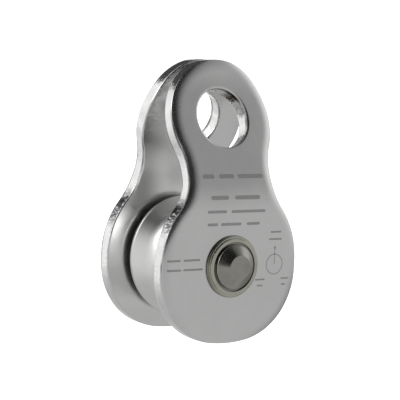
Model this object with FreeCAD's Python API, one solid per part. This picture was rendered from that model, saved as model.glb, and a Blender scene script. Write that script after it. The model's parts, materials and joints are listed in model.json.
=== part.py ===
import FreeCAD, Part
import math
import os

# A single sheave block. Two pear-shaped cheeks swing on one axle, one on each side of a grooved
# sheave that turns on two ball bearings. Above the sheave the cheeks lean in towards each other,
# and each ends in an eye. The origin is the middle of the sheave, on the axle's axis. +Y runs
# along the axle from the front cheek to the rear cheek, and +Z points up to the eyes. All sizes
# are in millimetres, and angles are in degrees.

V = FreeCAD.Vector
AXLE = V(0, 1, 0)

# Cheeks
CHEEK_GAP = 20.7
CHEEK_THICKNESS = 4.0
LOBE_RADIUS = 20.3
LOBE_RISE = 0.7
LOBE_DEPTH = 19.2
LOBE_CORNER_RADIUS = 17.6
LOBE_CORNER_DROP = 1.4
EYE_LOBE_RADIUS = 14.8
EYE_LOBE_RISE = 35.3
NECK_RADIUS = 15.5
LEAN_ANGLE = 19.0
LOWER_BEND_START = 13.5
LOWER_BEND_RADIUS = 25.0
LEAN_LENGTH = 19.8
UPPER_BEND_RADIUS = 28.0
EYE_RADIUS = 7.5
EYE_RISE = 35.35
OUTER_EDGE_ROUNDING = 0.9
INNER_EDGE_ROUNDING = 0.5
EYE_EDGE_ROUNDING = 0.5

# Axle
PIN_RADIUS = 4.0
HEAD_RADIUS = 5.5
HEAD_FLAT_RADIUS = 3.1
HEAD_WALL = 0.85
HEAD_HEIGHT = 2.8
HEAD_EDGE_ROUNDING = 0.3
RIVETED_HEAD_HEIGHT = 2.3
SWING_CLEARANCE = 0.05

# Collars, with three steps up from the cheek
COLLAR_STEP_RADII = (7.65, 7.35, 7.0)
COLLAR_STEP_HEIGHTS = (0.4, 0.75, 1.1)
COLLAR_RECESS_RADIUS = 6.15
COLLAR_RECESS_DEPTH = 0.45

# Pivot bushes
BUSH_RADIUS = 6.0
BUSH_FLANGE_RADIUS = 8.0
BUSH_FLANGE_THICKNESS = 1.05

# Sheave
SHEAVE_RADIUS = 15.2
SHEAVE_WIDTH = 16.9
GROOVE_RADIUS = 7.0
GROOVE_BOTTOM_RADIUS = 11.0
GROOVE_FLANK_ANGLE = 42.0
GROOVE_LIP_ROUNDING = 0.3
RIM_ROUNDING = 0.6
BORE_SHOULDER_RADIUS = 8.6
BORE_CHAMFER = 0.3

# Ball bearings, 8 x 19 x 6
BEARING_RADIUS = 9.5
BEARING_WIDTH = 6.0
BEARING_SPACING = 2.0
BALL_RADIUS = 1.5
BALL_COUNT = 8
BALL_CLEARANCE = 0.03
PITCH_RADIUS = 6.75
OUTER_LAND_RADIUS = 8.2
INNER_LAND_RADIUS = 5.35
CAGE_HALF_WIDTH = 1.9
CAGE_THICKNESS = 1.4
POCKET_CLEARANCE = 0.08
SHIELD_SEAT_RADIUS = 8.7
SHIELD_SEAT_DEPTH = 0.5
SHIELD_BORE_RADIUS = 5.6
SHIELD_THICKNESS = 0.3

# Side spacers between the bearings and the bushes
SPACER_SLEEVE_LENGTH = 1.0
SPACER_FLANGE_RADIUS = 7.3

# Spring rings in the sheave's bore
RING_THICKNESS = 0.85
RING_GROOVE_WIDTH = 0.9
RING_GROOVE_RADIUS = 10.0
RING_OUTER_RADIUS = 9.95
RING_INNER_RADIUS = 8.85
RING_GAP_ANGLE = 34.0
RING_LUG_RADIUS = 0.85
RING_LUG_HOLE_RADIUS = 0.4

# Worked out from the dimensions above
INNER_FACE = CHEEK_GAP / 2
OUTER_FACE = INNER_FACE + CHEEK_THICKNESS
BEARING_START = BEARING_SPACING / 2
BEARING_END = BEARING_START + BEARING_WIDTH
BEARING_MIDDLE = BEARING_START + BEARING_WIDTH / 2
BUSH_FACE = INNER_FACE - BUSH_FLANGE_THICKNESS
COLLAR_FACE = OUTER_FACE + SWING_CLEARANCE
HEAD_SEAT = COLLAR_FACE + COLLAR_STEP_HEIGHTS[-1] - COLLAR_RECESS_DEPTH


def turned(points):
    """A solid turned about the axle from a closed outline of (radius, y) points."""
    corners = [V(radius, y, 0) for radius, y in points]
    outline = Part.makePolygon(corners + corners[:1])
    return Part.Face(outline).revolve(V(0, 0, 0), AXLE, 360)


def ring(inner_radius, outer_radius, y_low, y_high):
    """A plain ring on the axle's axis."""
    return turned(
        [(inner_radius, y_low), (outer_radius, y_low), (outer_radius, y_high), (inner_radius, y_high)]
    )


def round_edges(solid, radius, chosen):
    """Rounds the circular edges for which chosen(edge_radius, y) is true."""
    edges = [
        edge
        for edge in solid.Edges
        if isinstance(edge.Curve, Part.Circle) and chosen(edge.Curve.Radius, edge.Curve.Center.y)
    ]
    return solid.makeFillet(radius, edges)


def near(a, b):
    return abs(a - b) < 1e-3


def both_sides(solids, name, shape):
    """Adds a rear piece, and its mirror image as the front piece."""
    solids["rear_" + name] = shape
    solids["front_" + name] = shape.mirror(V(0, 0, 0), AXLE)


# ---------------------------------------------------------------- cheeks


def on_arc(centre, radius, degrees):
    """A point in the YZ plane, at an angle from +Y towards +Z."""
    angle = math.radians(degrees)
    return V(0, centre.y + radius * math.cos(angle), centre.z + radius * math.sin(angle))


def bent_face_line(depth):
    """The rear cheek's side-on line, bottom to top, at a depth below its outer face."""
    lower_centre = V(0, OUTER_FACE - LOWER_BEND_RADIUS, LOWER_BEND_START)
    lower_radius = LOWER_BEND_RADIUS - depth
    outer_bend_end = on_arc(lower_centre, LOWER_BEND_RADIUS, LEAN_ANGLE)
    outer_lean_end = on_arc(outer_bend_end, LEAN_LENGTH, 90 + LEAN_ANGLE)
    upper_centre = on_arc(outer_lean_end, UPPER_BEND_RADIUS, LEAN_ANGLE)
    upper_radius = -(UPPER_BEND_RADIUS + depth)

    bottom = V(0, OUTER_FACE - depth, -LOBE_DEPTH - CHEEK_THICKNESS)
    lower = [on_arc(lower_centre, lower_radius, LEAN_ANGLE * part) for part in (0, 0.5, 1)]
    upper = [on_arc(upper_centre, upper_radius, LEAN_ANGLE * part) for part in (1, 0.5, 0)]
    top = V(0, upper[-1].y, EYE_LOBE_RISE + 2 * EYE_LOBE_RADIUS)
    edges = [
        Part.LineSegment(bottom, lower[0]),
        Part.Arc(*lower),
        Part.LineSegment(lower[-1], upper[0]),
        Part.Arc(*upper),
        Part.LineSegment(upper[-1], top),
    ]
    return Part.Wire([edge.toShape() for edge in edges])


def bent_plate():
    """The rear cheek's bent plate, before its outline is cut."""
    outer = bent_face_line(0)
    inner = bent_face_line(CHEEK_THICKNESS)
    ends = []
    for end in (0, -1):
        corners = [line.OrderedVertexes[end].Point for line in (outer, inner)]
        ends.append(Part.LineSegment(*corners).toShape())
    side = Part.Face(Part.Wire(Part.__sortEdges__(outer.Edges + inner.Edges + ends)))
    width = 2 * (LOBE_RADIUS + CHEEK_THICKNESS)
    side.translate(V(-width / 2, 0, 0))
    return side.extrude(V(width, 0, 0))


def pear_outline():
    """The cheek's outline seen along the axle.

    The lower lobe is round above, with short straight sides, and its bottom is a flatter arc between
    two corner arcs. Two neck curves join it to the round lobe of the eye.
    """
    low_reach = LOBE_RADIUS + NECK_RADIUS
    high_reach = EYE_LOBE_RADIUS + NECK_RADIUS
    rise = EYE_LOBE_RISE - LOBE_RISE
    neck_z = (low_reach**2 - high_reach**2 + rise**2) / (2 * rise)
    neck_x = math.sqrt(low_reach**2 - neck_z**2)
    low_angle = math.atan2(neck_z, neck_x)
    high_angle = math.atan2(neck_z - rise, neck_x)

    corner_x = LOBE_RADIUS - LOBE_CORNER_RADIUS
    depth = LOBE_DEPTH - LOBE_CORNER_DROP
    bottom_radius = (corner_x**2 + depth**2 - LOBE_CORNER_RADIUS**2) / (2 * (depth - LOBE_CORNER_RADIUS))
    corner_angle = math.asin(corner_x / (bottom_radius - LOBE_CORNER_RADIUS)) - math.pi / 2

    def point(x, z, radius, angle):
        return V(x + radius * math.cos(angle), 0, z + radius * math.sin(angle))

    def left(p):
        return V(-p.x, 0, p.z)

    top = V(0, 0, EYE_LOBE_RISE + EYE_LOBE_RADIUS)
    high = point(0, EYE_LOBE_RISE, EYE_LOBE_RADIUS, high_angle)
    neck = point(neck_x, LOBE_RISE + neck_z, -NECK_RADIUS, (low_angle + high_angle) / 2)
    low = point(0, LOBE_RISE, LOBE_RADIUS, low_angle)
    shoulder = point(0, LOBE_RISE, LOBE_RADIUS, low_angle / 2)
    side_top = V(LOBE_RADIUS, 0, LOBE_RISE)
    side_bottom = V(LOBE_RADIUS, 0, -LOBE_CORNER_DROP)
    corner = point(corner_x, -LOBE_CORNER_DROP, LOBE_CORNER_RADIUS, corner_angle / 2)
    corner_end = point(corner_x, -LOBE_CORNER_DROP, LOBE_CORNER_RADIUS, corner_angle)
    bottom = V(0, 0, -LOBE_DEPTH)

    right_side = [
        Part.Arc(high, neck, low),
        Part.Arc(low, shoulder, side_top),
        Part.LineSegment(side_top, side_bottom),
        Part.Arc(side_bottom, corner, corner_end),
    ]
    left_side = [
        Part.Arc(left(corner_end), left(corner), left(side_bottom)),
        Part.LineSegment(left(side_bottom), left(side_top)),
        Part.Arc(left(side_top), left(shoulder), left(low)),
        Part.Arc(left(low), left(neck), left(high)),
    ]
    outline = right_side + [Part.Arc(corner_end, bottom, left(corner_end))] + left_side
    outline.append(Part.Arc(left(high), top, high))
    return Part.Face(Part.Wire([curve.toShape() for curve in outline]))


def eye_centre():
    """The middle of the rear cheek's eye, half way through the leaning plate."""
    middle = bent_face_line(CHEEK_THICKNESS / 2)
    level = Part.LineSegment(V(0, 0, EYE_RISE), V(0, OUTER_FACE, EYE_RISE)).toShape()
    return middle.distToShape(level)[1][0][0]


def cheek():
    """The rear cheek, with its eye and its pivot hole."""
    outline = pear_outline().extrude(V(0, OUTER_FACE + CHEEK_THICKNESS, 0))
    plate = bent_plate().common(outline)
    outer = bent_face_line(0)
    inner = bent_face_line(CHEEK_THICKNESS)

    def rim_edges(line):
        """The outline's edges on one broad face of the plate."""
        found = []
        for edge in plate.Edges:
            middle = edge.valueAt((edge.FirstParameter + edge.LastParameter) / 2)
            side_on = Part.Vertex(V(0, middle.y, middle.z))
            across = near(edge.BoundBox.YLength + edge.BoundBox.ZLength, 0)
            if not across and near(side_on.distToShape(line)[0], 0):
                found.append(edge)
        return found

    plate = plate.makeFillet(OUTER_EDGE_ROUNDING, rim_edges(outer))
    plate = plate.makeFillet(INNER_EDGE_ROUNDING, rim_edges(inner))

    lean = math.radians(LEAN_ANGLE)
    through = V(0, math.cos(lean), math.sin(lean))
    eye_cutter = Part.makeCylinder(
        EYE_RADIUS, 4 * CHEEK_THICKNESS, eye_centre() - through * 2 * CHEEK_THICKNESS, through
    )
    pivot_cutter = Part.makeCylinder(BUSH_RADIUS, 2 * CHEEK_THICKNESS, V(0, INNER_FACE - 1, 0), AXLE)
    plate = plate.cut(eye_cutter)

    def on_eye(edge):
        middle = edge.valueAt((edge.FirstParameter + edge.LastParameter) / 2) - eye_centre()
        from_axis = middle - through * middle.dot(through)
        along = edge.tangentAt((edge.FirstParameter + edge.LastParameter) / 2).dot(through)
        return near(from_axis.Length, EYE_RADIUS) and abs(along) < 0.9

    plate = plate.makeFillet(EYE_EDGE_ROUNDING, [edge for edge in plate.Edges if on_eye(edge)])
    return plate.cut(pivot_cutter)


def pivot_bush():
    """The flanged bush pressed into the rear cheek. The cheek swings on it."""
    bore = PIN_RADIUS + SWING_CLEARANCE
    bush = turned(
        [
            (bore, BUSH_FACE),
            (BUSH_FLANGE_RADIUS, BUSH_FACE),
            (BUSH_FLANGE_RADIUS, INNER_FACE),
            (BUSH_RADIUS, INNER_FACE),
            (BUSH_RADIUS, OUTER_FACE),
            (bore, OUTER_FACE),
        ]
    )
    return round_edges(bush, 0.2, lambda radius, y: near(radius, BUSH_FLANGE_RADIUS) and near(y, BUSH_FACE))


# ---------------------------------------------------------------- axle


def axle_pin():
    """The pin, with a turned and chamfered front head and a riveted, domed rear head."""
    head_top = HEAD_SEAT + HEAD_HEIGHT
    dome_top = HEAD_SEAT + RIVETED_HEAD_HEIGHT
    pin = turned(
        [
            (0, -head_top),
            (HEAD_FLAT_RADIUS, -head_top),
            (HEAD_RADIUS, -HEAD_SEAT - HEAD_WALL),
            (HEAD_RADIUS, -HEAD_SEAT),
            (PIN_RADIUS, -HEAD_SEAT),
            (PIN_RADIUS, HEAD_SEAT),
            (HEAD_RADIUS, HEAD_SEAT),
            (HEAD_RADIUS, HEAD_SEAT + HEAD_WALL),
            (HEAD_FLAT_RADIUS, dome_top),
            (0, dome_top),
        ]
    )
    pin = round_edges(pin, HEAD_EDGE_ROUNDING, lambda radius, y: y < -HEAD_SEAT - 0.1)
    return round_edges(pin, 2 * HEAD_EDGE_ROUNDING, lambda radius, y: y > HEAD_SEAT + 0.1)


def collar():
    """The stepped rear collar. The pin's head sits in its recess."""
    top = COLLAR_FACE + COLLAR_STEP_HEIGHTS[-1]
    points = [(PIN_RADIUS, COLLAR_FACE)]
    low = COLLAR_FACE
    for radius, height in zip(COLLAR_STEP_RADII, COLLAR_STEP_HEIGHTS):
        points += [(radius, low), (radius, COLLAR_FACE + height)]
        low = COLLAR_FACE + height
    points += [(COLLAR_RECESS_RADIUS, top), (COLLAR_RECESS_RADIUS, HEAD_SEAT), (PIN_RADIUS, HEAD_SEAT)]
    solid = turned(points)
    low_step, high_step = COLLAR_STEP_HEIGHTS[0], COLLAR_STEP_HEIGHTS[-1]
    return round_edges(
        solid,
        0.15,
        lambda radius, y: (near(radius, COLLAR_STEP_RADII[0]) and near(y, COLLAR_FACE + low_step))
        or (near(radius, COLLAR_STEP_RADII[-1]) and near(y, COLLAR_FACE + high_step)),
    )


def side_spacer():
    """The flanged spacer from the rear bearing's inner ring out to the rear bush."""
    flange_start = BEARING_END + SPACER_SLEEVE_LENGTH
    flange_end = BUSH_FACE - SWING_CLEARANCE
    return turned(
        [
            (PIN_RADIUS, BEARING_END),
            (INNER_LAND_RADIUS, BEARING_END),
            (INNER_LAND_RADIUS, flange_start),
            (SPACER_FLANGE_RADIUS, flange_start),
            (SPACER_FLANGE_RADIUS, flange_end),
            (PIN_RADIUS, flange_end),
        ]
    )


# ---------------------------------------------------------------- bearings


def race(offset):
    """The torus that the balls run in, larger than them by the running clearance."""
    return Part.makeTorus(PITCH_RADIUS, BALL_RADIUS + BALL_CLEARANCE, V(0, offset, 0), AXLE)


def outer_ring():
    seat = SHIELD_SEAT_DEPTH
    solid = turned(
        [
            (SHIELD_SEAT_RADIUS, BEARING_START),
            (BEARING_RADIUS, BEARING_START),
            (BEARING_RADIUS, BEARING_END),
            (SHIELD_SEAT_RADIUS, BEARING_END),
            (SHIELD_SEAT_RADIUS, BEARING_END - seat),
            (OUTER_LAND_RADIUS, BEARING_END - seat),
            (OUTER_LAND_RADIUS, BEARING_START + seat),
            (SHIELD_SEAT_RADIUS, BEARING_START + seat),
        ]
    )
    return solid.cut(race(BEARING_MIDDLE))


def inner_ring():
    solid = ring(PIN_RADIUS, INNER_LAND_RADIUS, BEARING_START, BEARING_END)
    return solid.cut(race(BEARING_MIDDLE))


def ball_places():
    """The balls' centres, evenly spaced round the pitch circle."""
    for number in range(BALL_COUNT):
        angle = 2 * math.pi * number / BALL_COUNT
        yield V(PITCH_RADIUS * math.cos(angle), BEARING_MIDDLE, PITCH_RADIUS * math.sin(angle))


def balls():
    return Part.makeCompound([Part.makeSphere(BALL_RADIUS, place) for place in ball_places()])


def cage_half(towards_outside):
    """Half of the ball cage: a flat ring with a round notch at each ball."""
    low = BEARING_MIDDLE if towards_outside else BEARING_MIDDLE - CAGE_HALF_WIDTH
    inner_radius = PITCH_RADIUS - CAGE_THICKNESS / 2
    solid = ring(inner_radius, inner_radius + CAGE_THICKNESS, low, low + CAGE_HALF_WIDTH)
    for place in ball_places():
        outward = V(place.x, 0, place.z).normalize()
        pocket = Part.makeCylinder(
            BALL_RADIUS + POCKET_CLEARANCE, 2 * CAGE_THICKNESS, place - outward * CAGE_THICKNESS, outward
        )
        solid = solid.cut(pocket)
    return solid


def shield(towards_outside):
    """The pressed washer that closes one side of the bearing."""
    inset = SHIELD_SEAT_DEPTH - SHIELD_THICKNESS
    if towards_outside:
        low = BEARING_END - inset - SHIELD_THICKNESS
    else:
        low = BEARING_START + inset
    return ring(SHIELD_BORE_RADIUS, SHIELD_SEAT_RADIUS, low, low + SHIELD_THICKNESS)


# ---------------------------------------------------------------- sheave


def sheave():
    """The grooved wheel, with a stepped bore for the two bearings and their spring rings."""
    side = SHEAVE_WIDTH / 2
    angle = math.radians(GROOVE_FLANK_ANGLE)
    seat_half = GROOVE_RADIUS * math.sin(angle)
    seat_top = GROOVE_BOTTOM_RADIUS + GROOVE_RADIUS * (1 - math.cos(angle))
    groove_half = seat_half + (SHEAVE_RADIUS - seat_top) / math.tan(angle)
    clear = SHEAVE_RADIUS + 1
    clear_half = groove_half + 1 / math.tan(angle)
    seat_ends = V(0, -seat_half, seat_top), V(0, seat_half, seat_top)
    seat = Part.Arc(seat_ends[0], V(0, 0, GROOVE_BOTTOM_RADIUS), seat_ends[1]).toShape()
    flanks = Part.makePolygon([seat_ends[1], V(0, clear_half, clear), V(0, -clear_half, clear), seat_ends[0]])
    groove = Part.Face(Part.Wire([seat] + flanks.Edges)).revolve(V(0, 0, 0), AXLE, 360)
    wheel = ring(BORE_SHOULDER_RADIUS, SHEAVE_RADIUS, -side, side).cut(groove)

    def at_rim(half_width):
        return lambda radius, y: near(radius, SHEAVE_RADIUS) and near(abs(y), half_width)

    wheel = round_edges(wheel, GROOVE_LIP_ROUNDING, at_rim(groove_half))
    wheel = round_edges(wheel, RIM_ROUNDING, at_rim(side))
    for direction in (-1, 1):
        start, end = sorted((direction * BEARING_START, direction * (side + 1)))
        wheel = wheel.cut(ring(BORE_SHOULDER_RADIUS - 1, BEARING_RADIUS, start, end))
        start, end = sorted((direction * BEARING_END, direction * (BEARING_END + RING_GROOVE_WIDTH)))
        wheel = wheel.cut(ring(BORE_SHOULDER_RADIUS - 1, RING_GROOVE_RADIUS, start, end))
    mouths = [
        edge
        for edge in wheel.Edges
        if isinstance(edge.Curve, Part.Circle)
        and near(edge.Curve.Radius, BEARING_RADIUS)
        and near(abs(edge.Curve.Center.y), side)
    ]
    return wheel.makeChamfer(BORE_CHAMFER, mouths)


def retaining_ring():
    """The open spring ring behind the rear bearing, with a lug and a hole at each end."""
    low = BEARING_END
    half_gap = math.radians(RING_GAP_ANGLE / 2)
    reach = RING_OUTER_RADIUS + 1
    solid = ring(RING_INNER_RADIUS, RING_OUTER_RADIUS, low, low + RING_THICKNESS)
    half_width = reach * math.tan(half_gap)
    corners = [V(0, low, 0), V(-half_width, low, reach), V(half_width, low, reach)]
    wedge = Part.Face(Part.makePolygon(corners + corners[:1])).extrude(V(0, RING_THICKNESS, 0))
    solid = solid.cut(wedge)
    lug_centre = RING_INNER_RADIUS - RING_LUG_RADIUS / 3
    lug_angle = half_gap + math.asin(RING_LUG_RADIUS / lug_centre)
    for direction in (-1, 1):
        angle = direction * lug_angle
        place = V(lug_centre * math.sin(angle), low, lug_centre * math.cos(angle))
        solid = solid.fuse(Part.makeCylinder(RING_LUG_RADIUS, RING_THICKNESS, place, AXLE))
        solid = solid.cut(Part.makeCylinder(RING_LUG_HOLE_RADIUS, RING_THICKNESS, place, AXLE))
    return solid


def build():
    """Every piece by name."""
    solids = {
        "axle_pin": axle_pin(),
        "bearing_spacer": ring(PIN_RADIUS, INNER_LAND_RADIUS, -BEARING_START, BEARING_START),
        "sheave": sheave(),
    }
    both_sides(solids, "cheek", cheek())
    both_sides(solids, "pivot_bush", pivot_bush())
    both_sides(solids, "collar", collar())
    both_sides(solids, "side_spacer", side_spacer())
    both_sides(solids, "bearing_outer_ring", outer_ring())
    both_sides(solids, "bearing_inner_ring", inner_ring())
    both_sides(solids, "bearing_balls", balls())
    both_sides(solids, "cage_outer_half", cage_half(True))
    both_sides(solids, "cage_inner_half", cage_half(False))
    both_sides(solids, "outer_shield", shield(True))
    both_sides(solids, "inner_shield", shield(False))
    both_sides(solids, "retaining_ring", retaining_ring())
    return solids


os.makedirs("parts", exist_ok=True)
for name, shape in build().items():
    print(name, "solids", len(shape.Solids), "valid", shape.isValid(), "volume", round(shape.Volume, 2))
    shape.exportStep("parts/" + name + ".step")
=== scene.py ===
import json
import math

import bmesh
import bpy
from mathutils import Matrix, Vector, noise

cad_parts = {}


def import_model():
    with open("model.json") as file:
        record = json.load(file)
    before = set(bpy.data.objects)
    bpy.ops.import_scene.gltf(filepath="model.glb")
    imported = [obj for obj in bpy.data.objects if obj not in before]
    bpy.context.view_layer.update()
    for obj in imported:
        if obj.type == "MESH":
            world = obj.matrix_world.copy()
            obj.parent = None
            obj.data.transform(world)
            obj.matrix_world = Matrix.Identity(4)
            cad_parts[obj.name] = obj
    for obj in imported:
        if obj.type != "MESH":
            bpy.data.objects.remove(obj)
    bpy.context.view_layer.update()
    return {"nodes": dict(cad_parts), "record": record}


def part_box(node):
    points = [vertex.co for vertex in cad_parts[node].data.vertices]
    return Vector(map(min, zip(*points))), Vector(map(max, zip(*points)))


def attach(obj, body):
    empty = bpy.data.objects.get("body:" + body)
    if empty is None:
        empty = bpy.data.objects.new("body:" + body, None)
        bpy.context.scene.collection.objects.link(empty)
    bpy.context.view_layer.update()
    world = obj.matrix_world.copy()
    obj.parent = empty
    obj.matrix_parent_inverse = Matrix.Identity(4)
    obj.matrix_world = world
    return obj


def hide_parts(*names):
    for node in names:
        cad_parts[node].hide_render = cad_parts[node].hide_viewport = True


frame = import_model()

MM = 0.001
MICRON = 1e-6

# Camera, seen from the front left and a little above, turned slightly about its own line of sight
CAMERA_AZIMUTH = math.radians(-35.58)
CAMERA_ELEVATION = math.radians(5.4)
CAMERA_ROLL = math.radians(2.51)
CAMERA_DISTANCE = 369.02 * MM
CAMERA_TARGET = Vector((-0.14 * MM, 0, 14.85 * MM))
CAMERA_LENS = 132.16
CAMERA_SENSOR = 36.0
CAMERA_CLIP = 10 * MM

# Cheeks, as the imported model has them
low_corner, high_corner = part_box("front_cheek")
OUTER_FACE = -low_corner.y
LOBE_RADIUS = high_corner.x
LOBE_RISE = 0.7 * MM
LOBE_DEPTH = -low_corner.z
LOBE_CORNER_RADIUS = 17.6 * MM
LOBE_CORNER_DROP = 1.4 * MM
EYE_LOBE_RISE = 35.3 * MM
EYE_LOBE_RADIUS = high_corner.z - EYE_LOBE_RISE
NECK_RADIUS = 15.5 * MM
CHEEK_THICKNESS = 4.0 * MM
LEAN = math.radians(19)
LOWER_BEND_START = 13.5 * MM
LOWER_BEND_RADIUS = 25.0 * MM
LEAN_LENGTH = 19.8 * MM
UPPER_BEND_RADIUS = 28.0 * MM
LEAN_END_Y = OUTER_FACE - LOWER_BEND_RADIUS * (1 - math.cos(LEAN)) - LEAN_LENGTH * math.sin(LEAN)
LEAN_END_Z = LOWER_BEND_START + LOWER_BEND_RADIUS * math.sin(LEAN) + LEAN_LENGTH * math.cos(LEAN)
UPPER_CENTRE_Y = LEAN_END_Y + UPPER_BEND_RADIUS * math.cos(LEAN)
UPPER_CENTRE_Z = LEAN_END_Z + UPPER_BEND_RADIUS * math.sin(LEAN)
EYE_RADIUS = 7.5 * MM
eye_mount = [mount for mount in frame["record"]["mounts"] if mount["name"] == "rear_eye"][0]
EYE_Y = eye_mount["pos_m"][1]
EYE_RISE = eye_mount["pos_m"][2]
PIVOT_RADIUS = 6.0 * MM

# The cheeks' edges, as how far in and how deep the outer edge rolls over, and the inner edge's radius
EDGE_ROLL = (3.0 * MM, 0.85 * MM)
EYE_ROLL = (0.6 * MM, 0.4 * MM)
INNER_ROUNDING = 0.4 * MM
OUTER_ROUNDING_STEPS = 16
INNER_ROUNDING_STEPS = 5

# The cheeks' walls swell in and out a little. The noise changes more slowly through the plate than
# along its outline, and each cheek has its own stretch of it
WALL_STEPS = 6
WALL_UNEVENNESS = 0.03 * MM
WALL_NOISE_SCALE = 450.0
WALL_NOISE_DEPTH_SHARE = 0.35
WALL_NOISE_SHIFT = 10 * MM

# How finely the cheeks are built
OUTLINE_STEP = math.radians(2.4)
EYE_STEPS = 120
EYE_ROUNDS = 12
BEND_ROW = 0.8 * MM
CREASE = math.radians(35)
SAME_POINT = 1e-6
SAME_HEIGHT = 1e-8
DEPTH_LAYER = "depth"

# How far the etched marks stand on the front cheek's face, and how far they reach into it
MARK_PROUD = 0.012 * MM
MARK_SINK = 0.03 * MM

# The marks' rows, in mm: height, bar thickness, and bars from left to right
MARK_ROWS = [
    (22.0, 1.0, [(-8.9, -5.4), (-4.0, 0.6), (1.6, 9.4)]),
    (16.9, 1.0, [(-6.9, -1.6), (0.2, 7.9)]),
    (13.5, 0.7, [(-7.9, -2.2), (-0.8, 9.6)]),
    (10.4, 0.7, [(-7.8, -4.7), (-3.8, 2.4), (4.0, 8.0)]),
    (8.1, 0.45, [(11.6, 15.0)]),
    (6.3, 0.45, [(11.2, 15.2)]),
    (2.0, 0.5, [(-19.0, -15.3), (-14.4, -9.6)]),
    (-0.3, 0.5, [(-19.0, -15.0), (-14.4, -8.6)]),
    (-3.7, 0.4, [(7.3, 10.4), (15.4, 17.9)]),
    (-5.2, 0.4, [(8.0, 9.8), (15.6, 17.0)]),
]
BAR_END_STEPS = 8

# The load diagram, in mm: a ring, and an arrow up from its middle
LOAD_RING_PLACE = (13.2, 0.0)
LOAD_RING_RADIUS = 2.5
LOAD_RING_STEPS = 64
LOAD_LINE = 0.22
LOAD_SHAFT_LENGTH = 3.9
LOAD_HEAD_HALF_WIDTH = 0.42
LOAD_HEAD_LENGTH = 0.84


# ---------------------------------------------------------------- shader helpers

# Most of a noise lies in this band
NOISE_BAND = (0.3, 0.7)
WHITE = (1.0, 1.0, 1.0, 1.0)


class Graph:
    """A short way to write a node tree. A band is the stretch (from, to) of a value over which a result
    changes, and results are what it changes from and to."""

    def __init__(self, tree):
        self.tree = tree
        tree.nodes.clear()

    def node(self, kind, inputs=None, **settings):
        """Adds a node. Its inputs are values or the outputs of other nodes."""
        node = self.tree.nodes.new(kind)
        for name, value in settings.items():
            setattr(node, name, value)
        for name, value in (inputs or {}).items():
            self.put(node.inputs[name], value)
        return node

    def put(self, socket, value):
        """Links an output to a socket, or sets the socket's own value."""
        if isinstance(value, bpy.types.NodeSocket):
            self.tree.links.new(value, socket)
        else:
            socket.default_value = value

    def number(self, operation, *values):
        """The result of a Math node."""
        return self.node("ShaderNodeMath", dict(enumerate(values)), operation=operation).outputs[0]

    def sum(self, first, *others):
        for other in others:
            first = self.number("ADD", first, other)
        return first

    def product(self, first, *others):
        for other in others:
            first = self.number("MULTIPLY", first, other)
        return first

    def blend(self, factor, a, b):
        """The number a where the factor is 0, and b where it is 1."""
        return self.sum(self.product(factor, self.number("SUBTRACT", b, a)), a)

    def mix(self, factor, a, b):
        """The colour a where the factor is 0, and b where it is 1."""
        node = self.node("ShaderNodeMix", data_type="RGBA")
        self.put(node.inputs["Factor"], factor)
        self.put(node.inputs["A"], a)
        self.put(node.inputs["B"], b)
        return node.outputs["Result"]

    def map_range(self, value, band, results, **settings):
        ends = {"From Min": band[0], "From Max": band[1], "To Min": results[0], "To Max": results[1]}
        return self.node("ShaderNodeMapRange", {"Value": value, **ends}, **settings).outputs["Result"]

    def smooth(self, value, band, results=(0.0, 1.0)):
        """A smooth step from one result to the other."""
        return self.map_range(value, band, results, interpolation_type="SMOOTHSTEP")

    def fall(self, value, band):
        """A smooth step from 1 down to 0."""
        return self.smooth(value, band, (1.0, 0.0))

    def spread(self, field, results):
        """A noise's usual range, mapped onto results in proportion."""
        return self.map_range(field, NOISE_BAND, results)

    def noise(self, vector, scale, detail, roughness=0.5):
        inputs = {"Vector": vector, "Scale": scale, "Detail": detail, "Roughness": roughness}
        return self.node("ShaderNodeTexNoise", inputs).outputs["Fac"]


def new_material(name):
    material = bpy.data.materials.new(name)
    material.use_nodes = True
    return material, Graph(material.node_tree)


# ---------------------------------------------------------------- steels

# A steel's noise is given by its features per metre, its detail, and factors on x, y and z, where less
# than 1 draws the features out along that axis. Roughness values and heights add up
STEEL_NOISE_ROUGHNESS = 0.6
RING_DETAIL = 2.0
RING_ROUGHNESS = 0.7

# How much a surface faces along the axle, from a plate's walls to its broad faces
WALL_BAND = (0.45, 0.75)


def shade(colour, factor):
    """A colour made darker or lighter by a factor, with its alpha."""
    return tuple(min(1.0, c * factor) for c in colour) + (1.0,)


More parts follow.
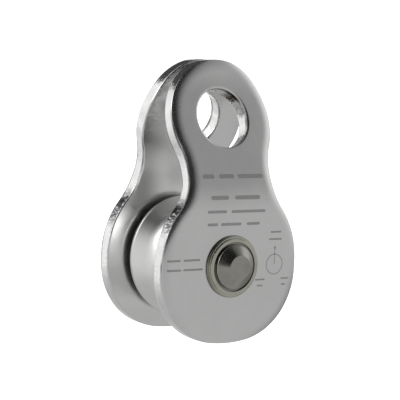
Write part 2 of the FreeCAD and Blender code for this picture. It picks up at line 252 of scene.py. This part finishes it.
class Steel:
    """What every metal here shares."""

    def __init__(self, name):
        self.material, self.graph = new_material(name)
        self.where = self.graph.node("ShaderNodeTexCoord").outputs["Object"]
        self.place = self.graph.node("ShaderNodeSeparateXYZ", {"Vector": self.where}).outputs

    def noise(self, scale, detail, stretch=(1.0, 1.0, 1.0)):
        factors = {0: self.where, 1: stretch}
        place = self.graph.node("ShaderNodeVectorMath", factors, operation="MULTIPLY").outputs[0]
        return self.graph.noise(place, scale, detail, STEEL_NOISE_ROUGHNESS)

    def edge_wall(self):
        """1 on a plate's walls and 0 on its broad faces."""
        normal = self.graph.node("ShaderNodeTexCoord").outputs["Normal"]
        across = self.graph.node("ShaderNodeSeparateXYZ", {"Vector": normal}).outputs["Y"]
        return self.graph.fall(self.graph.number("ABSOLUTE", across), WALL_BAND)

    def radius(self):
        """The distance from the axle's line."""
        squares = [self.graph.number("POWER", self.place[axis], 2.0) for axis in "XZ"]
        return self.graph.number("SQRT", self.graph.sum(*squares))

    def turned_rings(self, scale):
        """Fine rings round the axle, as a lathe leaves them."""
        ring = {"X": self.radius(), "Y": self.place["Y"]}
        place = self.graph.node("ShaderNodeCombineXYZ", ring).outputs[0]
        return self.graph.noise(place, scale, RING_DETAIL, RING_ROUGHNESS)

    def clouded(self, cloud, colour, shades):
        """A colour between a dark and a light shade of it, by a noise."""
        dark, light = (shade(colour, factor) for factor in shades)
        return self.graph.mix(self.graph.smooth(cloud, NOISE_BAND), dark, light)

    def finish(self, tone, rough, height, relief):
        """The metal itself. A relief is the depth in metres of a height of 1."""
        surface = {"Height": height, "Strength": 1.0, "Distance": relief}
        bump = self.graph.node("ShaderNodeBump", surface).outputs[0]
        metal = {"Base Color": tone, "Metallic": 1.0, "Roughness": rough, "Normal": bump}
        shader = self.graph.node("ShaderNodeBsdfPrincipled", metal)
        self.graph.node("ShaderNodeOutputMaterial", {"Surface": shader.outputs[0]})
        return self.material


# ---------------------------------------------------------------- the cheeks' steel

# Clouds of tone and roughness, with a grain drawn out upwards, and an orange peel of height 1
PLATE_COLOUR = (0.80, 0.80, 0.795)
PLATE_SHADES = (0.97, 1.03)
PLATE_CLOUDS = (70.0, 4.0)
PLATE_ROUGH = (0.20, 0.26)
PLATE_RELIEF = 3.0 * MICRON
WALL_POLISH = 0.12
GRAIN = (3800.0, 3.0, (1.0, 1.0, 0.06))
GRAIN_ROUGH = (-0.02, 0.03)
GRAIN_HEIGHT = 0.10
ORANGE_PEEL = (900.0, 2.0)

# Hairlines lie where a noise is within their width of its middle, and come in patches
HAIRLINES = (420.0, 2.0, (1.0, 1.0, 0.22))
HAIRLINE_MIDDLE = 0.5
HAIRLINE_WIDTH = 0.004
HAIRLINE_PATCHES = (130.0, 2.0)
HAIRLINE_PATCH_BAND = (0.52, 0.62)
HAIRLINE_ROUGH = 0.08
HAIRLINE_DEPTH = 0.2

# Painted dark reflections, as dark flecks on the walls, from one height band to the other
FLECKS = (1500.0, 5.0, (1.0, 0.45, 1.0))
FLECK_BAND = (0.36, 0.56)
FLECK_START = (6.5 * MM, 10.5 * MM)
FLECK_END = (14.5 * MM, 17.5 * MM)
DARK_REFLECTION_COLOUR = (0.15, 0.15, 0.16, 1.0)

# Painted shade: broken dark lines along both rims of a wall, in shares of the plate's thickness.
# They end low down
OUTER_RIM_BAND = (0.23, 0.33)
INNER_RIM_BAND = (0.84, 0.90)
RIM_LINE_PATCHES = (120.0, 2.0)
RIM_LINE_PATCH_BAND = (0.35, 0.6)
RIM_LINE_START = (-8.0 * MM, 2.0 * MM)
RIM_SHADE_COLOUR = (0.16, 0.16, 0.16, 1.0)

# The walls' waves and drag lines, which are weaker below one height band and above the other
RIPPLE = (640.0, 3.0, (1.0, 0.6, 1.0))
RIPPLE_HEIGHT = 80.0
DRAG_LINES = (1900.0, 2.0, (0.12, 1.0, 0.12))
DRAG_LINE_HEIGHT = 9.0
LOW_WALL_BAND = (-8.0 * MM, 6.0 * MM)
LOW_WALL_SHARES = (0.2, 1.0)
HIGH_WALL_BAND = (22.0 * MM, 32.0 * MM)
HIGH_WALL_SHARES = (1.0, 0.4)

# The etched marks
ETCHED_COLOURS = ((0.46, 0.46, 0.455, 1.0), (0.58, 0.58, 0.575, 1.0))
ETCHED_DOTS = (5200.0, 2.0)
ETCHED_ROUGH = (0.42, 0.6)
ETCHED_RELIEF = 4.0 * MICRON


def hairlines(steel):
    """1 on fine scratches."""
    graph = steel.graph
    off_middle = graph.number("SUBTRACT", steel.noise(*HAIRLINES), HAIRLINE_MIDDLE)
    lines = graph.fall(graph.number("ABSOLUTE", off_middle), (0.0, HAIRLINE_WIDTH))
    return graph.product(lines, graph.smooth(steel.noise(*HAIRLINE_PATCHES), HAIRLINE_PATCH_BAND))


def painted_dark_reflections(steel, wall):
    """1 on the flecks of painted dark reflection."""
    graph = steel.graph
    start = graph.smooth(steel.place["Z"], FLECK_START)
    end = graph.fall(steel.place["Z"], FLECK_END)
    return graph.product(start, end, wall, graph.smooth(steel.noise(*FLECKS), FLECK_BAND))


def painted_rim_shade(steel, wall):
    """1 on the lines of painted shade along the walls' rims."""
    graph = steel.graph
    depth = graph.node("ShaderNodeAttribute", attribute_name=DEPTH_LAYER).outputs["Fac"]
    lines = graph.sum(graph.fall(depth, OUTER_RIM_BAND), graph.smooth(depth, INNER_RIM_BAND))
    broken = graph.smooth(steel.noise(*RIM_LINE_PATCHES), RIM_LINE_PATCH_BAND)
    return graph.product(lines, wall, broken, graph.smooth(steel.place["Z"], RIM_LINE_START))


def wall_height(steel):
    """The walls' waves and drag lines."""
    graph = steel.graph
    ripple = graph.product(steel.noise(*RIPPLE), RIPPLE_HEIGHT)
    drag_lines = graph.product(steel.noise(*DRAG_LINES), DRAG_LINE_HEIGHT)
    low = graph.smooth(steel.place["Z"], LOW_WALL_BAND, LOW_WALL_SHARES)
    high = graph.smooth(steel.place["Z"], HIGH_WALL_BAND, HIGH_WALL_SHARES)
    return graph.product(graph.sum(ripple, drag_lines), low, high)


def plate_steel():
    """Tumbled and polished plate: soft clouds, a faint grain and hairlines, and smoother, wavy walls with
    painted dark reflections and painted shade.
    """
    steel = Steel("plate_steel")
    graph = steel.graph
    wall = steel.edge_wall()
    cloud = steel.noise(*PLATE_CLOUDS)
    grain = steel.noise(*GRAIN)
    scratches = hairlines(steel)
    tone = steel.clouded(cloud, PLATE_COLOUR, PLATE_SHADES)
    # Painted dark reflections, as flecks on the walls
    tone = graph.mix(painted_dark_reflections(steel, wall), tone, DARK_REFLECTION_COLOUR)
    # Painted shade along the walls' rims
    tone = graph.mix(painted_rim_shade(steel, wall), tone, RIM_SHADE_COLOUR)
    rough = graph.sum(graph.spread(cloud, PLATE_ROUGH), graph.spread(grain, GRAIN_ROUGH))
    rough = graph.sum(rough, graph.product(scratches, HAIRLINE_ROUGH))
    rough = graph.number("SUBTRACT", rough, graph.product(wall, WALL_POLISH))
    height = graph.sum(graph.product(grain, GRAIN_HEIGHT), steel.noise(*ORANGE_PEEL))
    height = graph.number("SUBTRACT", height, graph.product(scratches, HAIRLINE_DEPTH))
    height = graph.sum(height, graph.product(wall, wall_height(steel)))
    return steel.finish(tone, rough, height, PLATE_RELIEF)


def etched_steel():
    """Laser-etched marks: a darker, duller patch of the same steel."""
    steel = Steel("etched_steel")
    dots = steel.noise(*ETCHED_DOTS)
    tone = steel.graph.mix(steel.graph.smooth(dots, NOISE_BAND), *ETCHED_COLOURS)
    return steel.finish(tone, steel.graph.spread(dots, ETCHED_ROUGH), dots, ETCHED_RELIEF)


# ---------------------------------------------------------------- the sheave's and the axle's steel

# The sheave. Its flanks carry painted shade, dark inside a polished band at the rim, for the narrow gaps
# beside the cheeks
WHEEL_COLOUR = (0.84, 0.84, 0.83)
WHEEL_SHADES = (0.95, 1.03)
WHEEL_CLOUDS = (110.0, 4.0)
WHEEL_ROUGH = (0.28, 0.36)
WHEEL_RINGS = 4200.0
WHEEL_RING_ROUGH = (-0.03, 0.04)
WHEEL_WIDE_RINGS = 700.0
WHEEL_WIDE_RING_HEIGHT = 2.0
WHEEL_RELIEF = 1.6 * MICRON
FLANK_MARGIN = 0.3 * MM
SHEAVE_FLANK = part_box("sheave")[1].y - FLANK_MARGIN
FLANK_BAND_RADIUS = 13.8 * MM
FLANK_SOFTNESS = 0.2 * MM
FLANK_SHADE_COLOUR = (0.42, 0.42, 0.42, 1.0)

# The pin and the collars
PIN_COLOUR = (0.415, 0.41, 0.365)
COLLAR_COLOUR = (0.57, 0.565, 0.495)
PIN_SHADES = (0.93, 1.05)
PIN_CLOUDS = (260.0, 4.0)
PIN_ROUGH = (0.16, 0.26)
PIN_PATCHES = (420.0, 4.0)
PIN_PATCH_BAND = (0.45, 0.7)
PIN_PATCH_SHARE = 0.5
PIN_PATCH_SHADE = 0.78
PIN_RINGS = 5200.0
PIN_RING_ROUGH = (-0.02, 0.05)
PIN_RING_HEIGHT = 0.8
PIN_GRAIN = (1500.0, 2.0)
PIN_RELIEF = 2.5 * MICRON

# Rings of painted shade on the collars, as radii (from, to): round the pin's head, and at the collars'
# feet
COLLAR_SHADE_RINGS = [(5.4 * MM, 6.1 * MM), (7.55 * MM, 8.0 * MM)]
SHADE_RING_SOFTNESS = 0.12 * MM
SHADE_RING_FACTOR = 0.5

# The pieces inside: each one's colour, roughness, and height of its rings where it is ground or turned
BEARING_METAL = ((0.60, 0.60, 0.60), 0.12, 0.6)
PRESSED_METAL = ((0.50, 0.50, 0.49), 0.30, 0.0)
SPRING_METAL = ((0.10, 0.10, 0.11), 0.38, 0.0)
BRONZE_METAL = ((0.55, 0.38, 0.18), 0.32, 0.5)
INNER_SHADES = (0.92, 1.05)
INNER_CLOUDS = (300.0, 4.0)
INNER_SMOOTHER, INNER_ROUGHER = 0.03, 0.04
INNER_GRAIN = (2600.0, 3.0)
INNER_RINGS = 5000.0
INNER_RELIEF = 2.0 * MICRON


def wheel_steel():
    """Turned and polished, with fine rings round the axle, and painted shade on the flanks."""
    steel = Steel("wheel_steel")
    graph = steel.graph
    cloud = steel.noise(*WHEEL_CLOUDS)
    rings = steel.turned_rings(WHEEL_RINGS)
    wide_rings = steel.turned_rings(WHEEL_WIDE_RINGS)
    outwards = graph.number("ABSOLUTE", steel.place["Y"])
    flank = graph.smooth(outwards, (SHEAVE_FLANK, SHEAVE_FLANK + FLANK_SOFTNESS))
    inside = graph.fall(steel.radius(), (FLANK_BAND_RADIUS, FLANK_BAND_RADIUS + FLANK_SOFTNESS))
    tone = steel.clouded(cloud, WHEEL_COLOUR, WHEEL_SHADES)
    # Painted shade on the sheave's flanks
    tone = graph.mix(graph.product(flank, inside), tone, FLANK_SHADE_COLOUR)
    rough = graph.sum(graph.spread(cloud, WHEEL_ROUGH), graph.spread(rings, WHEEL_RING_ROUGH))
    height = graph.sum(rings, graph.product(wide_rings, WHEEL_WIDE_RING_HEIGHT))
    return steel.finish(tone, rough, height, WHEEL_RELIEF)


def pin_steel(name, colour, shade_rings=()):
    """Turned steel with a warm, dull tone, darker in patches, and with rings of painted shade where given.
    """
    steel = Steel(name)
    graph = steel.graph
    cloud = steel.noise(*PIN_CLOUDS)
    patch = graph.smooth(steel.noise(*PIN_PATCHES), PIN_PATCH_BAND)
    rings = steel.turned_rings(PIN_RINGS)
    tone = steel.clouded(cloud, colour, PIN_SHADES)
    tone = graph.mix(graph.product(patch, PIN_PATCH_SHARE), tone, shade(colour, PIN_PATCH_SHADE))
    radius = steel.radius()
    # Rings of painted shade round the pin's head and at the collars' feet
    for start, end in shade_rings:
        outside_start = graph.smooth(radius, (start - SHADE_RING_SOFTNESS, start))
        inside_end = graph.fall(radius, (end, end + SHADE_RING_SOFTNESS))
        tone = graph.mix(graph.product(outside_start, inside_end), tone, shade(colour, SHADE_RING_FACTOR))
    rough = graph.sum(graph.spread(cloud, PIN_ROUGH), graph.spread(rings, PIN_RING_ROUGH))
    height = graph.sum(graph.product(rings, PIN_RING_HEIGHT), steel.noise(*PIN_GRAIN))
    return steel.finish(tone, rough, height, PIN_RELIEF)


def plain_steel(name, colour, roughness, ring_height):
    """The inner pieces: an even metal with fine clouds and rings."""
    steel = Steel(name)
    graph = steel.graph
    cloud = steel.noise(*INNER_CLOUDS)
    tone = steel.clouded(cloud, colour, INNER_SHADES)
    rough = graph.spread(cloud, (roughness - INNER_SMOOTHER, roughness + INNER_ROUGHER))
    rings = graph.product(steel.turned_rings(INNER_RINGS), ring_height)
    height = graph.sum(steel.noise(*INNER_GRAIN), rings)
    return steel.finish(tone, rough, height, INNER_RELIEF)


def dress_cad(metals):
    """Gives every CAD node the metal of its own name, or else of its slot."""
    for part in frame["record"]["subparts"]:
        mesh = frame["nodes"][part["node"]].data
        mesh.materials.clear()
        mesh.materials.append(metals.get(part["node"], metals[part["material_slot"]]))


# ---------------------------------------------------------------- cheeks


def closed_piece(shape, name, metal):
    """Makes a closed shape a piece of the model."""
    bmesh.ops.triangulate(shape, faces=shape.faces[:])
    bmesh.ops.recalc_face_normals(shape, faces=shape.faces[:])
    mesh = bpy.data.meshes.new(name)
    shape.to_mesh(mesh)
    shape.free()
    mesh.materials.append(metal)
    piece = bpy.data.objects.new(name, mesh)
    bpy.context.scene.collection.objects.link(piece)
    return piece


def face_y(z, depth):
    """How far out the rear cheek's surface is at a height, at a depth below its outer face."""
    radius = LOWER_BEND_RADIUS - depth
    bend_end = LOWER_BEND_START + radius * math.sin(LEAN)
    if z <= LOWER_BEND_START:
        return OUTER_FACE - depth
    if z <= bend_end:
        return OUTER_FACE - LOWER_BEND_RADIUS + math.sqrt(radius**2 - (z - LOWER_BEND_START) ** 2)
    radius = UPPER_BEND_RADIUS + depth
    if z >= UPPER_CENTRE_Z:
        return UPPER_CENTRE_Y - radius
    if z >= UPPER_CENTRE_Z - radius * math.sin(LEAN):
        return UPPER_CENTRE_Y - math.sqrt(radius**2 - (UPPER_CENTRE_Z - z) ** 2)
    start_y = UPPER_CENTRE_Y - radius * math.cos(LEAN)
    start_z = UPPER_CENTRE_Z - radius * math.sin(LEAN)
    return start_y + (start_z - z) * math.tan(LEAN)


def plate_tilt(z):
    """The sine of the plate's tilt at a height on its outer face."""
    bending = (z - LOWER_BEND_START) / LOWER_BEND_RADIUS
    straightening = (UPPER_CENTRE_Z - z) / UPPER_BEND_RADIUS
    return max(0.0, min(bending, math.sin(LEAN), straightening))


def pear_loop(inset):
    """Points (x, z) round the cheek's outline, moved inwards by an inset."""
    # The neck's arcs touch the lower lobe at the angle low and the eye's lobe at the angle high
    low_reach = LOBE_RADIUS + NECK_RADIUS
    high_reach = EYE_LOBE_RADIUS + NECK_RADIUS
    rise = EYE_LOBE_RISE - LOBE_RISE
    neck_z = (low_reach**2 - high_reach**2 + rise**2) / (2 * rise)
    neck_x = math.sqrt(low_reach**2 - neck_z**2)
    low = math.atan2(neck_z, neck_x)
    high = math.atan2(neck_z - rise, neck_x)

    # The bottom's arc touches the arcs of both lower corners
    corner_x = LOBE_RADIUS - LOBE_CORNER_RADIUS
    depth = LOBE_DEPTH - LOBE_CORNER_DROP
    bottom_radius = (corner_x**2 + depth**2 - LOBE_CORNER_RADIUS**2) / (2 * (depth - LOBE_CORNER_RADIUS))
    spread = math.asin(corner_x / (bottom_radius - LOBE_CORNER_RADIUS))
    down = -math.pi / 2

    arcs = [
        (0.0, LOBE_RISE, LOBE_RADIUS - inset, low, 0.0),
        (corner_x, -LOBE_CORNER_DROP, LOBE_CORNER_RADIUS - inset, 0.0, down + spread),
        (0.0, bottom_radius - LOBE_DEPTH, bottom_radius - inset, down + spread, down - spread),
        (-corner_x, -LOBE_CORNER_DROP, LOBE_CORNER_RADIUS - inset, down - spread, -math.pi),
        (0.0, LOBE_RISE, LOBE_RADIUS - inset, -math.pi, -math.pi - low),
        (-neck_x, LOBE_RISE + neck_z, NECK_RADIUS + inset, -low, -high),
        (0.0, EYE_LOBE_RISE, EYE_LOBE_RADIUS - inset, math.pi - high, high),
        (neck_x, LOBE_RISE + neck_z, NECK_RADIUS + inset, math.pi + high, math.pi + low),
    ]
    points = []
    for x, z, radius, start, end in arcs:
        steps = max(2, round(abs(end - start) / OUTLINE_STEP))
        for step in range(steps + 1):
            angle = start + (end - start) * step / steps
            point = Vector((x + radius * math.cos(angle), z + radius * math.sin(angle)))
            if not points or (point - points[-1]).length > SAME_POINT:
                points.append(point)
    return points[:-1]


def rim_loop(side, inset, depth):
    """Points (x, z, depth) of the outline, a little uneven, with its wall square to the bent plate."""
    middle = math.sin(math.pi * min(1.0, depth / CHEEK_THICKNESS))
    points = []
    for x, z in pear_loop(inset):
        place = Vector((x, z, side * WALL_NOISE_SHIFT + depth * WALL_NOISE_DEPTH_SHARE))
        swell = noise.noise(place * WALL_NOISE_SCALE)
        grow = 1 + WALL_UNEVENNESS * middle * swell / LOBE_RADIUS
        points.append((x * grow, z * grow - depth * plate_tilt(z), depth))
    return points


def eye_loop(radius, depth):
    """Points (x, z, depth) where the eye's leaning cylinder meets the surface at a depth."""
    points = []
    for step in range(EYE_STEPS):
        angle = 2 * math.pi * step / EYE_STEPS
        across, up = radius * math.cos(angle), radius * math.sin(angle)
        along = 0.0
        for _ in range(EYE_ROUNDS):
            y = EYE_Y - up * math.sin(LEAN) + along * math.cos(LEAN)
            z = EYE_RISE + up * math.cos(LEAN) + along * math.sin(LEAN)
            along += (face_y(z, depth) - y) * math.cos(LEAN)
        points.append((across, z, depth))
    return points


def pivot_loop(depth):
    """Points (x, z, depth) round the hole for the pivot bush."""
    turn = [2 * math.pi * step / EYE_STEPS for step in range(EYE_STEPS)]
    return [(PIVOT_RADIUS * math.cos(a), PIVOT_RADIUS * math.sin(a), depth) for a in turn]


def rounding(width, height, steps):
    """(inset, depth) down a quarter of an ellipse, from the face to the wall."""
    for step in range(steps + 1):
        angle = math.pi / 2 * step / steps
        yield width * (1 - math.sin(angle)), height * (1 - math.cos(angle))


def wall_profile(roll):
    """(inset, depth) from a cheek's outer face, over its edge and down its wall to its inner face."""
    stations = list(rounding(*roll, OUTER_ROUNDING_STEPS))
    low, high = roll[1], CHEEK_THICKNESS - INNER_ROUNDING
    stations += [(0.0, low + (high - low) * step / WALL_STEPS) for step in range(1, WALL_STEPS)]
    back = list(rounding(INNER_ROUNDING, INNER_ROUNDING, INNER_ROUNDING_STEPS))
    return stations + [(inset, CHEEK_THICKNESS - depth) for inset, depth in reversed(back)]


def skin(shape, loops):
    """Skins a row of loops of (x, z, depth), and returns the edges of the first and the last."""
    rows = [[shape.verts.new((x, depth, z)) for x, z, depth in loop] for loop in loops]
    for upper, lower in zip(rows, rows[1:]):
        for here in range(len(upper)):
            there = (here + 1) % len(upper)
            shape.faces.new((upper[here], upper[there], lower[there], lower[here]))
    ends = []
    for row in (rows[0], rows[-1]):
        ends.append([shape.edges.get((row[i], row[(i + 1) % len(row)])) for i in range(len(row))])
    return ends


def cut_rows(shape, top):
    """Cuts a flat shape into rows above the lower bend's start, so that it can bend."""
    row = LOWER_BEND_START
    while row < top:
        everything = shape.verts[:] + shape.edges[:] + shape.faces[:]
        bmesh.ops.bisect_plane(
            shape, geom=everything, plane_co=(0, 0, row), plane_no=(0, 0, 1), dist=SAME_HEIGHT
        )
        row += BEND_ROW


def bend(shape, side):
    """Bends a flat shape, whose depth is its y, to the cheek's form, and keeps each point's depth as a
    share of the thickness, for the painted rim shade. side is -1 for the front cheek and 1 for the rear
    one."""
    depth = shape.verts.layers.float.new(DEPTH_LAYER)
    for vertex in shape.verts:
        vertex[depth] = vertex.co.y / CHEEK_THICKNESS
        vertex.co.y = side * face_y(vertex.co.z, vertex.co.y)


def cheek_piece(name, side, metal, replaced):
    """A cheek whose outer edges roll over softly, as tumbled blanked plate does."""
    shape = bmesh.new()
    walls = [
        skin(shape, [rim_loop(side, inset, depth) for inset, depth in wall_profile(EDGE_ROLL)]),
        skin(shape, [eye_loop(EYE_RADIUS + inset, depth) for inset, depth in wall_profile(EYE_ROLL)]),
        skin(shape, [pivot_loop(depth) for depth in (0.0, CHEEK_THICKNESS)]),
    ]
    for face_loops in zip(*walls):
        boundary = [edge for loop in face_loops for edge in loop]
        bmesh.ops.triangle_fill(shape, edges=boundary, use_beauty=True, normal=(0, 1, 0))
    cut_rows(shape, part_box(replaced)[1].z)
    bend(shape, side)
    piece = closed_piece(shape, name, metal)
    piece.data.shade_smooth()
    piece.data.set_sharp_from_angle(angle=CREASE)
    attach(piece, replaced)
    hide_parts(replaced)


# ---------------------------------------------------------------- marks


def bar(left, right, z, height):
    """Points (x, z) round a flat bar with round ends, from x = left to x = right, in mm."""
    radius = height / 2
    points = []
    for x, start in ((right - radius, -90), (left + radius, 90)):
        for step in range(BAR_END_STEPS + 1):
            angle = math.radians(start + 180 * step / BAR_END_STEPS)
            points.append((x + radius * math.cos(angle), z + radius * math.sin(angle)))
    return points


def on_front(shape, points, depth):
    """Vertices at points (x, z) in mm, at a depth below the front cheek's outer face."""
    return [shape.verts.new((x * MM, -face_y(z * MM, depth), z * MM)) for x, z in points]


def flat_mark(shape, points):
    """One filled mark, with its outline given as (x, z) in mm."""
    top = on_front(shape, points, -MARK_PROUD)
    base = on_front(shape, points, MARK_SINK)
    shape.faces.new(top)
    shape.faces.new(base[::-1])
    for here in range(len(points)):
        there = (here + 1) % len(points)
        shape.faces.new((top[there], top[here], base[here], base[there]))


def ring_mark(shape, x, z, radius):
    """A line round a circle, in mm."""
    inner, outer = radius - LOAD_LINE / 2, radius + LOAD_LINE / 2
    turn = [2 * math.pi * step / LOAD_RING_STEPS for step in range(LOAD_RING_STEPS)]
    rows = []
    for edge, depth in (
        (inner, -MARK_PROUD),
        (outer, -MARK_PROUD),
        (outer, MARK_SINK),
        (inner, MARK_SINK),
    ):
        circle = [(x + edge * math.cos(a), z + edge * math.sin(a)) for a in turn]
        rows.append(on_front(shape, circle, depth))
    for row, following in zip(rows, rows[1:] + rows[:1]):
        for here in range(LOAD_RING_STEPS):
            there = (here + 1) % LOAD_RING_STEPS
            shape.faces.new((row[here], row[there], following[there], following[here]))


def marks_piece(metal):
    """The etched marks on the front cheek: plain bars where its lettering would be, and a load diagram."""
    shape = bmesh.new()
    for z, height, spans in MARK_ROWS:
        for left, right in spans:
            flat_mark(shape, bar(left, right, z, height))
    x, z = LOAD_RING_PLACE
    ring_mark(shape, x, z, LOAD_RING_RADIUS)
    left, right = x - LOAD_LINE / 2, x + LOAD_LINE / 2
    tip = z + LOAD_SHAFT_LENGTH
    flat_mark(shape, [(left, z), (right, z), (right, tip), (left, tip)])
    left, right = x - LOAD_HEAD_HALF_WIDTH, x + LOAD_HEAD_HALF_WIDTH
    flat_mark(shape, [(left, tip), (right, tip), (x, tip + LOAD_HEAD_LENGTH)])
    piece = closed_piece(shape, "front_cheek_marks", metal)
    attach(piece, "front_cheek")


# ---------------------------------------------------------------- studio

DOME_RADIUS = 4.0
DOME_SUBDIVISIONS = 4
WORLD_STRENGTH = 1.15
FLOOR_SIZE = 12.0
FLOOR_CLEARANCE = 2.0 * MM
FLOOR_ROUGHNESS = 0.9
FLOOR_GLOW = 0.6
FLOOR_NOISE = (12.0, 3.0)
FLOOR_TONES = (0.93, 0.97)

# What the polished steel reflects, by direction from the block: x to the right, y to the back and z up.
# A bright tent behind, with folds and a dark opening
TENT_BAND = (-0.60, -0.02)
TENT_TONES = (0.50, 1.0)
FOLDS = (3.5, 2.0)
FOLD_TONES = (0.82, 1.18)
OPENING_SLOPE = 0.25
OPENING_FOOT = (0.31, 0.39)
OPENING_LEFT = (-0.40, -0.24)
OPENING_TOP = (0.70, 0.85)
OPENING_TOP_SHARES = (1.0, 0.3)
OPENING_TONE = 0.06

# In front, darkest above the horizon, and lighter on both sides
FRONT_END = (-0.25, 0.30)
FRONT_BAND = (-0.03, 0.13)
FRONT_TONES = (0.46, 0.02)
FRONT_RIGHT_START = (0.15, 0.55)
FRONT_RIGHT_BAND = (-0.15, 0.50)
FRONT_RIGHT_TONES = (0.49, 0.30)
FRONT_LEFT_END = (-0.85, -0.60)
FRONT_LEFT_TONE = 0.72

# On the right, brighter upwards
RIGHT_START = (0.62, 0.92)
RIGHT_BAND = (-0.45, 0.45)
RIGHT_TONES = (0.26, 0.90)

# A round lamp, high on the left, with a soft edge
LAMP_AZIMUTH = math.radians(-110)
LAMP_ELEVATION = math.radians(36)
LAMP_CORE = math.radians(12)
LAMP_EDGE = math.radians(25)
LAMP_STRENGTH = 2.0


def towards(azimuth, elevation):
    """The direction from the block to where it is seen or lit from. Azimuth 0 is the front."""
    level = math.cos(elevation)
    return Vector((math.sin(azimuth) * level, -math.cos(azimuth) * level, math.sin(elevation)))


def reflected_light(graph):
    """How bright the studio is in each direction from the block."""
    where = graph.node("ShaderNodeTexCoord").outputs["Object"]
    direction = graph.node("ShaderNodeVectorMath", {0: where}, operation="NORMALIZE").outputs[0]
    parts = graph.node("ShaderNodeSeparateXYZ", {"Vector": direction}).outputs
    x, y, z = parts["X"], parts["Y"], parts["Z"]

    folds = graph.spread(graph.noise(direction, *FOLDS), FOLD_TONES)
    tent = graph.product(graph.smooth(z, TENT_BAND, TENT_TONES), folds)
    sloping = graph.sum(z, graph.product(x, OPENING_SLOPE))
    foot = graph.smooth(sloping, OPENING_FOOT)
    top = graph.smooth(z, OPENING_TOP, OPENING_TOP_SHARES)
    opening = graph.product(foot, graph.smooth(x, OPENING_LEFT), top)
    behind = graph.blend(opening, tent, OPENING_TONE)

    front = graph.smooth(z, FRONT_BAND, FRONT_TONES)
    front_right = graph.smooth(z, FRONT_RIGHT_BAND, FRONT_RIGHT_TONES)
    front = graph.blend(graph.smooth(x, FRONT_RIGHT_START), front, front_right)
    front = graph.blend(graph.smooth(x, FRONT_LEFT_END), FRONT_LEFT_TONE, front)

    light = graph.blend(graph.smooth(y, FRONT_END), front, behind)
    right = graph.smooth(z, RIGHT_BAND, RIGHT_TONES)
    light = graph.blend(graph.smooth(x, RIGHT_START), light, right)
    pair = {0: direction, 1: towards(LAMP_AZIMUTH, LAMP_ELEVATION)}
    closeness = graph.node("ShaderNodeVectorMath", pair, operation="DOT_PRODUCT").outputs["Value"]
    lamp_band = (math.cos(LAMP_EDGE), math.cos(LAMP_CORE))
    return graph.sum(light, graph.smooth(closeness, lamp_band, (0.0, LAMP_STRENGTH)))


def studio_dome():
    """A glowing dome round everything, which only reflections show."""
    material, graph = new_material("studio_reflections")
    light = {"Color": WHITE, "Strength": reflected_light(graph)}
    shader = graph.node("ShaderNodeEmission", light)
    graph.node("ShaderNodeOutputMaterial", {"Surface": shader.outputs[0]})
    material.cycles.emission_sampling = "NONE"

    mesh = bpy.data.meshes.new("studio_dome")
    shape = bmesh.new()
    bmesh.ops.create_icosphere(shape, subdivisions=DOME_SUBDIVISIONS, radius=DOME_RADIUS)
    shape.to_mesh(mesh)
    shape.free()
    mesh.materials.append(material)
    dome = bpy.data.objects.new("studio_dome", mesh)
    dome.visible_camera = False
    dome.visible_diffuse = False
    dome.visible_shadow = False
    dome.visible_transmission = False
    bpy.context.scene.collection.objects.link(dome)


def floor():
    """A plain pale floor, below the reach of a cheek that swings down. It glows, so shadows are faint."""
    material, graph = new_material("studio_floor")
    where = graph.node("ShaderNodeTexCoord").outputs["Object"]
    grain = graph.spread(graph.noise(where, *FLOOR_NOISE), FLOOR_TONES)
    grey = graph.node("ShaderNodeCombineColor", {"Red": grain, "Green": grain, "Blue": grain})
    paint = {"Base Color": grey.outputs[0], "Roughness": FLOOR_ROUGHNESS}
    glow = {"Emission Color": WHITE, "Emission Strength": FLOOR_GLOW}
    shader = graph.node("ShaderNodeBsdfPrincipled", {**paint, **glow})
    graph.node("ShaderNodeOutputMaterial", {"Surface": shader.outputs[0]})

    mesh = bpy.data.meshes.new("studio_floor")
    half = FLOOR_SIZE / 2
    low = -high_corner.z - FLOOR_CLEARANCE
    corners = [(-half, -half, low), (half, -half, low), (half, half, low), (-half, half, low)]
    mesh.from_pydata(corners, [], [(0, 1, 2, 3)])
    mesh.materials.append(material)
    plane = bpy.data.objects.new("studio_floor", mesh)
    plane.visible_glossy = False
    bpy.context.scene.collection.objects.link(plane)


def world():
    """Plain white light from all round."""
    scene_world = bpy.data.worlds.new("studio_world")
    scene_world.use_nodes = True
    graph = Graph(scene_world.node_tree)
    shader = graph.node("ShaderNodeBackground", {"Color": WHITE, "Strength": WORLD_STRENGTH})
    graph.node("ShaderNodeOutputWorld", {"Surface": shader.outputs[0]})
    bpy.context.scene.world = scene_world
    bpy.context.scene.view_settings.view_transform = "Standard"


def camera():
    """The camera, at the photograph's viewing angle."""
    data = bpy.data.cameras.new("camera")
    data.lens = CAMERA_LENS
    data.sensor_width = CAMERA_SENSOR
    data.clip_start = CAMERA_CLIP
    eye = bpy.data.objects.new("camera", data)
    back = towards(CAMERA_AZIMUTH, CAMERA_ELEVATION)
    place = Matrix.Translation(CAMERA_TARGET + back * CAMERA_DISTANCE)
    turn = back.to_track_quat("Z", "Y").to_matrix().to_4x4()
    eye.matrix_world = place @ turn @ Matrix.Rotation(CAMERA_ROLL, 4, "Z")
    bpy.context.scene.collection.objects.link(eye)
    bpy.context.scene.camera = eye


plate = plate_steel()
collar_metal = pin_steel("collar_steel", COLLAR_COLOUR, COLLAR_SHADE_RINGS)
dress_cad(
    {
        "front_collar": collar_metal,
        "rear_collar": collar_metal,
        "cheek_steel": plate,
        "sheave_steel": wheel_steel(),
        "pin_steel": pin_steel("pin_steel", PIN_COLOUR),
        "bearing_steel": plain_steel("bearing_steel", *BEARING_METAL),
        "pressed_steel": plain_steel("pressed_steel", *PRESSED_METAL),
        "spring_steel": plain_steel("spring_steel", *SPRING_METAL),
        "bronze": plain_steel("bush_bronze", *BRONZE_METAL),
    }
)
cheek_piece("front_cheek_plate", -1, plate, "front_cheek")
cheek_piece("rear_cheek_plate", 1, plate, "rear_cheek")
marks_piece(etched_steel())
studio_dome()
floor()
world()
camera()
